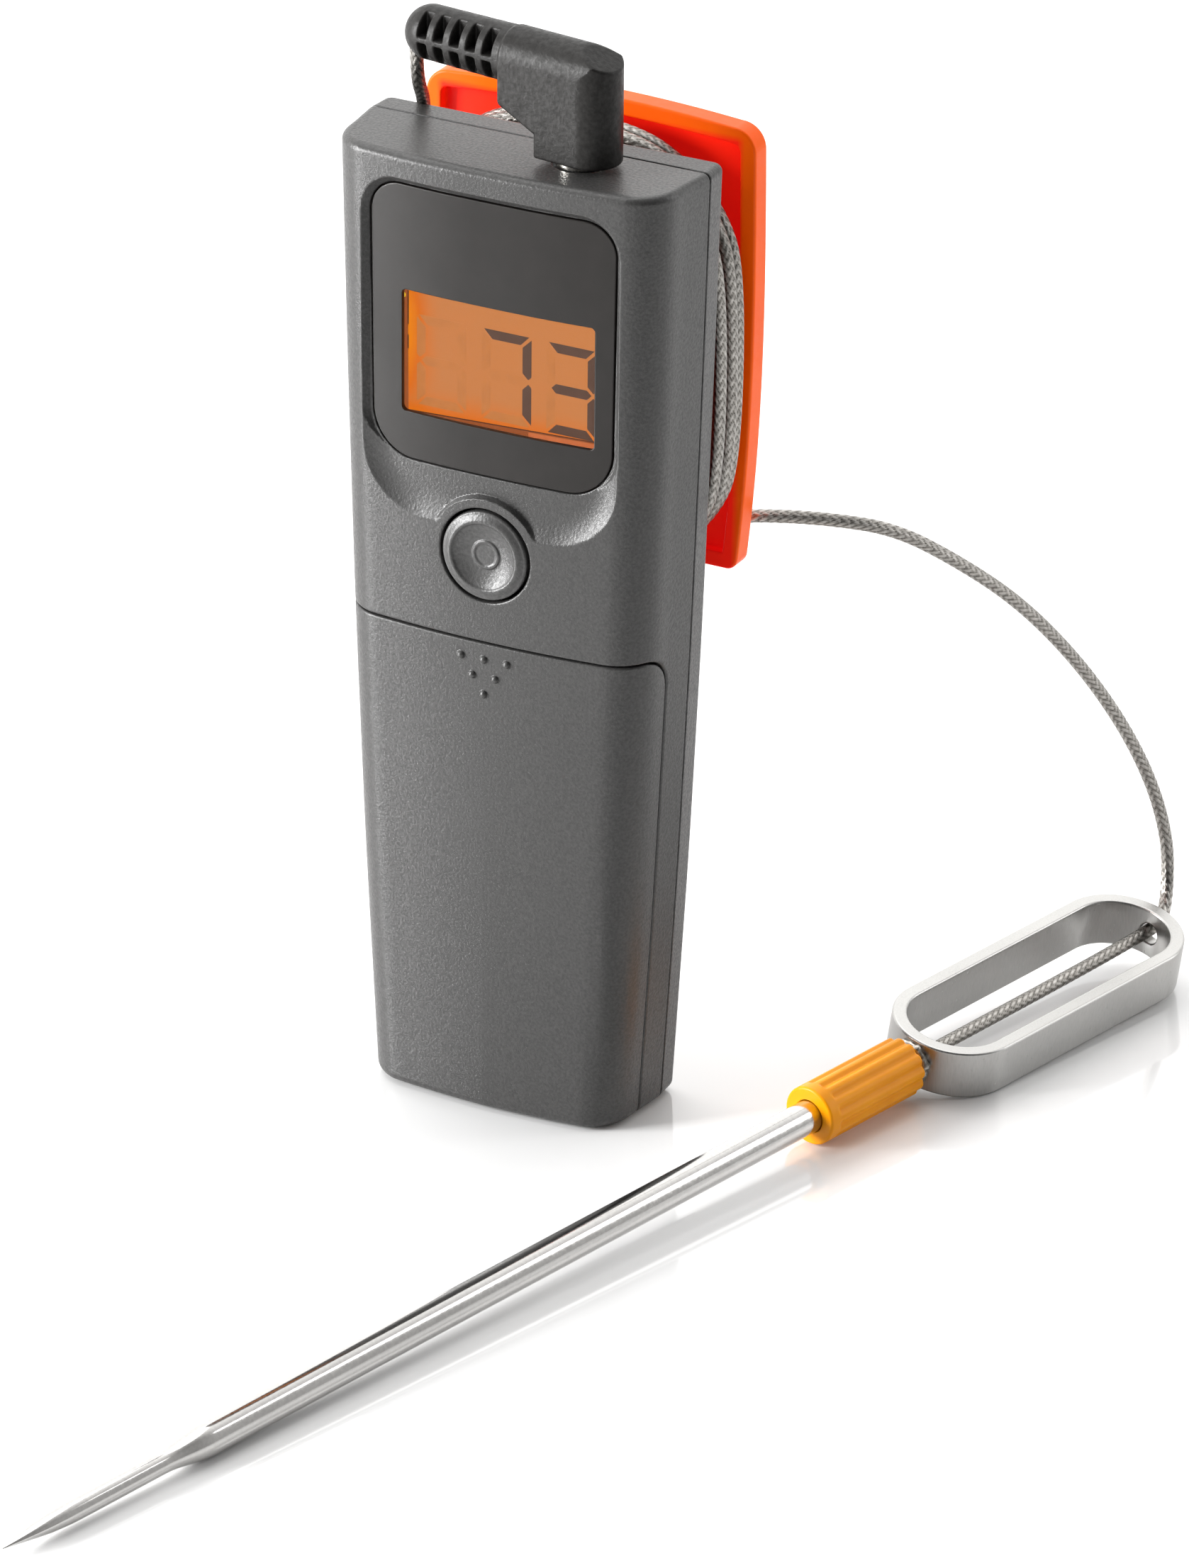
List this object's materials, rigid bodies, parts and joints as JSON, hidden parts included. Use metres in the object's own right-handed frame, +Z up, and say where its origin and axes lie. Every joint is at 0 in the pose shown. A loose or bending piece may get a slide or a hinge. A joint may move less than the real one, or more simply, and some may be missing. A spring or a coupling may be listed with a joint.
{
  "type": "meat thermometer",
  "caption": "Hand-held digital meat thermometer with a window, push button, cord spool on its back, right-angle plug, braided cord and a pointed steel probe with a finger loop.",
  "frame": {"origin": "middle of the display unit's base, on the table", "axes": "+Z up the display unit, -Y the way the display faces, +X to the right of someone reading the display"},
  "size_m": [0.0825, 0.197, 0.1337],
  "materials": {
    "case_plastic": "fine textured charcoal",
    "window": "smooth black mask with a clear pane",
    "lcd": "segment display lit from behind, orange",
    "clear_plastic": "clear acrylic",
    "led": "moulded emitter",
    "white_plastic": "moulded white",
    "zebra": "layered conductive rubber",
    "board": "green solder mask",
    "switch": "moulded black",
    "black_plastic": "moulded black",
    "cell": "wrapped steel can",
    "nickel": "nickel plated",
    "screw_steel": "zinc plated",
    "orange_plastic": "semi-gloss orange",
    "plug_plastic": "soft black moulding",
    "braid": "braided stainless wire",
    "stainless_polished": "polished along its length",
    "ceramic": "sintered bead",
    "stainless_satin": "satin brushed",
    "weld": "rough weld",
    "silicone": "translucent orange silicone"
  },
  "bodies": {
    "display_unit": {"front_shell": "case_plastic", "back_shell": "case_plastic", "display_window": "window", "lcd_panel": "lcd", "light_guide": "clear_plastic", "backlight_led": "led", "lcd_holder": "white_plastic", "zebra_strip": "zebra", "circuit_board": "board", "tact_switch": "switch", "jack_socket": "black_plastic", "battery_cell_left": "cell", "battery_cell_right": "cell", "contact_bridge": "nickel", "contact_positive": "nickel", "contact_negative": "nickel", "case_screws": "screw_steel", "spool_hub": "orange_plastic", "hub_screws": "screw_steel", "spool_flange": "orange_plastic", "flange_screws": "screw_steel", "probe_cord_lead": "braid", "probe_cord_free": "braid", "probe_cord_end": "braid", "probe_cord_coil": "braid", "probe_tube": "stainless_polished", "thermistor": "ceramic", "finger_loop": "stainless_satin", "weld_bead": "weld"},
    "button": {"button_cap": "case_plastic"},
    "battery_cover": {"battery_door": "case_plastic"},
    "plug": {"plug_body": "plug_plastic", "plug_collar": "nickel", "plug_insulator": "black_plastic", "plug_tip": "nickel"},
    "sleeve": {"silicone_sleeve": "silicone"}
  },
  "joints": [
    {"name": "button_press", "type": "slide", "parent": "display_unit", "child": "button", "axis": [0, 1, 0], "range_m": [0, 0.0006], "stiffness_N_per_m": 2500},
    {"name": "battery_door_slide", "type": "slide", "parent": "display_unit", "child": "battery_cover", "axis": [0, 0, -1], "range_m": [0, 0.061]},
    {"name": "plug_pull", "type": "slide", "parent": "display_unit", "child": "plug", "axis": [0, 0, 1], "range_m": [0, 0.0125], "deforming": ["probe_cord_lead"]},
    {"name": "sleeve_slide", "type": "slide", "parent": "display_unit", "child": "sleeve", "axis": [-0.2503, -0.968, -0.019], "range_m": [0, 0.1]}
  ]
}
